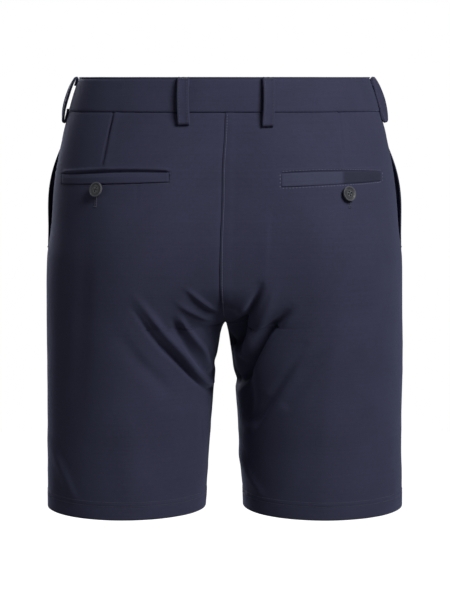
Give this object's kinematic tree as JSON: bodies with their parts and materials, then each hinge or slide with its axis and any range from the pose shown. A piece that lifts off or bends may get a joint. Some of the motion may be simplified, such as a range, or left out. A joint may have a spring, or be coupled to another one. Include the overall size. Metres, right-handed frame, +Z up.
{
  "type": "chino shorts",
  "caption": "Men's chino shorts in worn shape with nothing inside, with belt loops, slant side pockets, buttoned back welt pockets and a closed fly.",
  "frame": {"origin": "middle of the waist ring, half way up the waistband, where a wearer's waist holds the shorts up", "axes": "+Z up, +Y towards the wearer's front, +X towards the wearer's right"},
  "size_m": [0.376, 0.2518, 0.4526],
  "materials": {
    "shell_cloth": "smooth close-woven stretch twill, navy, dull with a slight sheen",
    "pocket_cloth": "the same cloth in the shade of the pocket mouth",
    "zip": "woven tape with a coil chain",
    "slider": "dark nickel",
    "button": "satin dark grey resin"
  },
  "bodies": {
    "root": {"back_left": "shell_cloth", "back_right": "shell_cloth", "front_left": "shell_cloth", "front_right": "shell_cloth", "pocket_facing_left": "pocket_cloth", "pocket_facing_right": "pocket_cloth", "back_welt_left": "shell_cloth", "back_welt_right": "shell_cloth", "waistband": "shell_cloth", "belt_loop_back_left": "shell_cloth", "belt_loop_back_right": "shell_cloth", "belt_loop_side_left": "shell_cloth", "belt_loop_side_right": "shell_cloth", "belt_loop_front_left": "shell_cloth", "belt_loop_front_right": "shell_cloth", "zip_tape": "zip", "fly_shield": "shell_cloth", "zip_slider": "slider", "pocket_button_left": "button", "pocket_button_right": "button", "waist_button": "button"}
  },
  "joints": []
}
